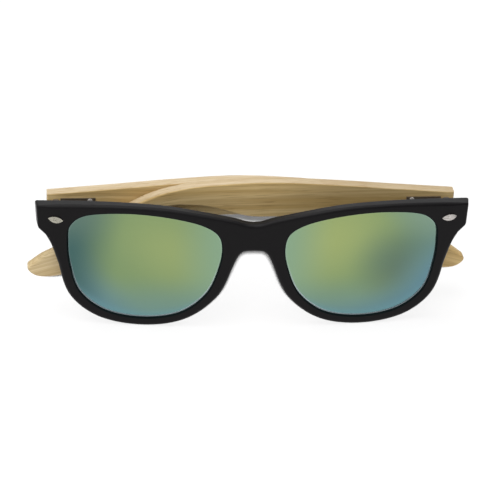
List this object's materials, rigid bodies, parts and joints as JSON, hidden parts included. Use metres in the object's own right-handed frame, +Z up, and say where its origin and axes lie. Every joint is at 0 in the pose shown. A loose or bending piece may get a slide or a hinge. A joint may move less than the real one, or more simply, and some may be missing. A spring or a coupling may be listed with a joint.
{
  "type": "sunglasses",
  "caption": "Folded sunglasses: black moulded wraparound front, mirror-coated rounded lenses, bamboo arms on metal barrel hinges held by pointed oval corner rivets.",
  "frame": {"origin": "the nose saddle: the middle of the underside of the bridge, at half the front's thickness", "axes": "+X across the front towards the wearer's left, +Y from the lenses back towards the ears, +Z up"},
  "size_m": [0.1514, 0.0272, 0.048],
  "materials": {
    "front_black": "satin black injection-moulded plastic with rounded edges",
    "lens_mirror": "tinted polycarbonate with a green and blue flash mirror coat",
    "arm_bamboo": "sanded and oiled bamboo, grain along the arm",
    "hinge_gunmetal": "blackened stamped steel",
    "rivet_silver": "polished domed head",
    "screw_steel": "slotted steel screw"
  },
  "bodies": {
    "front": {"front_frame": "front_black", "left_lens": "lens_mirror", "right_lens": "lens_mirror", "left_corner_rivet": "rivet_silver", "right_corner_rivet": "rivet_silver", "left_front_leaf": "hinge_gunmetal", "right_front_leaf": "hinge_gunmetal", "left_arm_leaf": "hinge_gunmetal", "left_hinge_screw": "screw_steel", "right_hinge_screw": "screw_steel", "left_plate_screws": "screw_steel", "left_arm": "arm_bamboo"},
    "right_arm": {"right_arm": "arm_bamboo", "right_arm_leaf": "hinge_gunmetal", "right_plate_screws": "screw_steel"}
  },
  "joints": [
    {"name": "right_arm_hinge", "type": "hinge", "parent": "front", "child": "right_arm", "pos_m": [-0.06615, 0.01299, 0.00995], "axis": [0.014, 0, 0.9999], "range_deg": [0, 87.6]}
  ]
}
